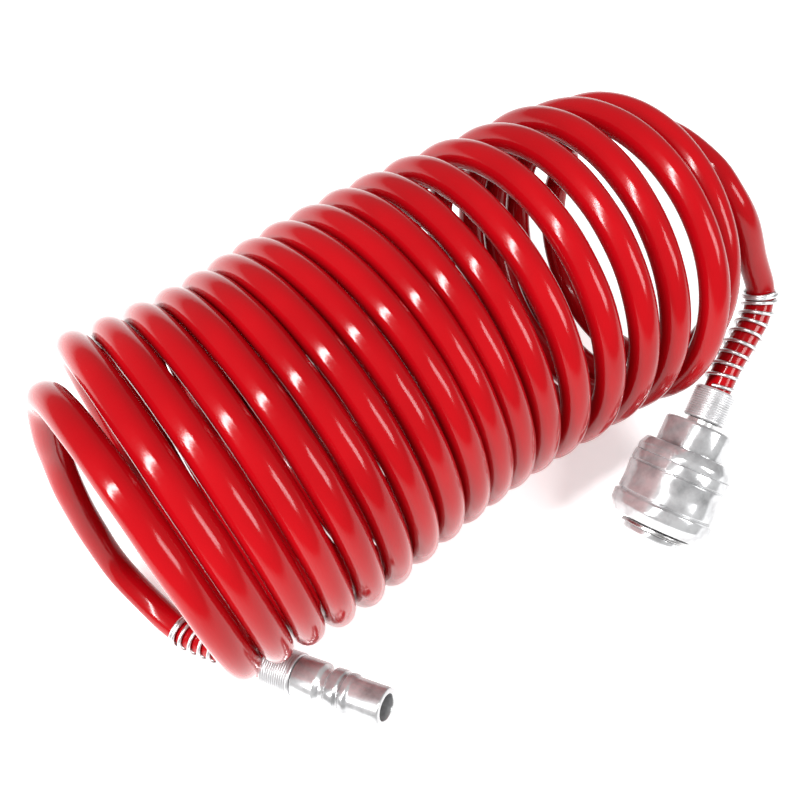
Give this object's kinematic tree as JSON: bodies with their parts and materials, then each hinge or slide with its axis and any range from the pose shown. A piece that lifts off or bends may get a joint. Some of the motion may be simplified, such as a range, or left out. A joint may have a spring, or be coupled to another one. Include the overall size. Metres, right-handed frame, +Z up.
{
  "type": "spiral compressed-air hose",
  "caption": "Coiled air hose lying on its side, with a spring bend guard at each end, a plug nipple on one end and a quick coupler with a sliding sleeve on the other.",
  "frame": {"origin": "centre of the base of the bounding box, on the surface the hose lies on", "axes": "+X along the coil from the plug end to the coupler end, +Z up, -Y towards the side both fittings point to"},
  "size_m": [0.2122, 0.1356, 0.1083],
  "materials": {
    "hose": "glossy translucent-looking red polyurethane",
    "spring_wire": "pale galvanised wire",
    "ferrule": "satin with fine rings",
    "plug_metal": "bright plated steel",
    "coupler_metal": "bright plated steel",
    "inner_metal": "machined and plated",
    "ring_wire": "spring steel",
    "ball_steel": "polished",
    "valve_metal": "machined",
    "seal": "smooth black rubber"
  },
  "bodies": {
    "hose_and_fittings": {"hose_coil": "hose", "hose_tail_plug": "hose", "hose_tail_coupler": "hose", "plug_bend_guard": "spring_wire", "coupler_bend_guard": "spring_wire", "plug_ferrule": "ferrule", "coupler_ferrule": "ferrule", "plug_nipple": "plug_metal", "coupler_tail": "inner_metal", "tail_seal": "seal", "coupler_body": "coupler_metal", "retaining_ring": "ring_wire", "sleeve_spring": "ring_wire", "plug_seal": "seal", "valve_spring": "ring_wire"},
    "sleeve": {"sliding_sleeve": "coupler_metal"},
    "valve": {"valve_poppet": "valve_metal", "valve_seal": "seal"},
    "ball_1": {"locking_ball_1": "ball_steel"},
    "ball_2": {"locking_ball_2": "ball_steel"},
    "ball_3": {"locking_ball_3": "ball_steel"},
    "ball_4": {"locking_ball_4": "ball_steel"},
    "ball_5": {"locking_ball_5": "ball_steel"},
    "ball_6": {"locking_ball_6": "ball_steel"}
  },
  "joints": [
    {"name": "sleeve_slide", "type": "slide", "parent": "hose_and_fittings", "child": "sleeve", "axis": [0.7752, 0.4151, 0.4761], "range_m": [0, 0.0045], "stiffness_N_per_m": 1500, "springref_m": -0.004, "deforming": ["sleeve_spring"]},
    {"name": "valve_slide", "type": "slide", "parent": "hose_and_fittings", "child": "valve", "axis": [0.7752, 0.4151, 0.4761], "range_m": [0, 0.0036], "stiffness_N_per_m": 500, "springref_m": -0.004, "deforming": ["valve_spring"]},
    {"name": "ball_slide_1", "type": "slide", "parent": "hose_and_fittings", "child": "ball_1", "axis": [0.4721, -0.8816, 0], "range_m": [0, 0.001]},
    {"name": "ball_slide_2", "type": "slide", "parent": "hose_and_fittings", "child": "ball_2", "axis": [-0.1275, -0.6354, 0.7616], "range_m": [0, 0.001]},
    {"name": "ball_slide_3", "type": "slide", "parent": "hose_and_fittings", "child": "ball_3", "axis": [-0.5995, 0.2461, 0.7616], "range_m": [0, 0.001]},
    {"name": "ball_slide_4", "type": "slide", "parent": "hose_and_fittings", "child": "ball_4", "axis": [-0.4721, 0.8816, 0], "range_m": [0, 0.001]},
    {"name": "ball_slide_5", "type": "slide", "parent": "hose_and_fittings", "child": "ball_5", "axis": [0.1275, 0.6354, -0.7616], "range_m": [0, 0.001]},
    {"name": "ball_slide_6", "type": "slide", "parent": "hose_and_fittings", "child": "ball_6", "axis": [0.5995, -0.2461, -0.7616], "range_m": [0, 0.001]}
  ],
  "couplings": [
    {"joint": "ball_slide_1", "follows": "sleeve_slide", "ratio": 0.2222},
    {"joint": "ball_slide_2", "follows": "sleeve_slide", "ratio": 0.2222},
    {"joint": "ball_slide_3", "follows": "sleeve_slide", "ratio": 0.2222},
    {"joint": "ball_slide_4", "follows": "sleeve_slide", "ratio": 0.2222},
    {"joint": "ball_slide_5", "follows": "sleeve_slide", "ratio": 0.2222},
    {"joint": "ball_slide_6", "follows": "sleeve_slide", "ratio": 0.2222}
  ]
}
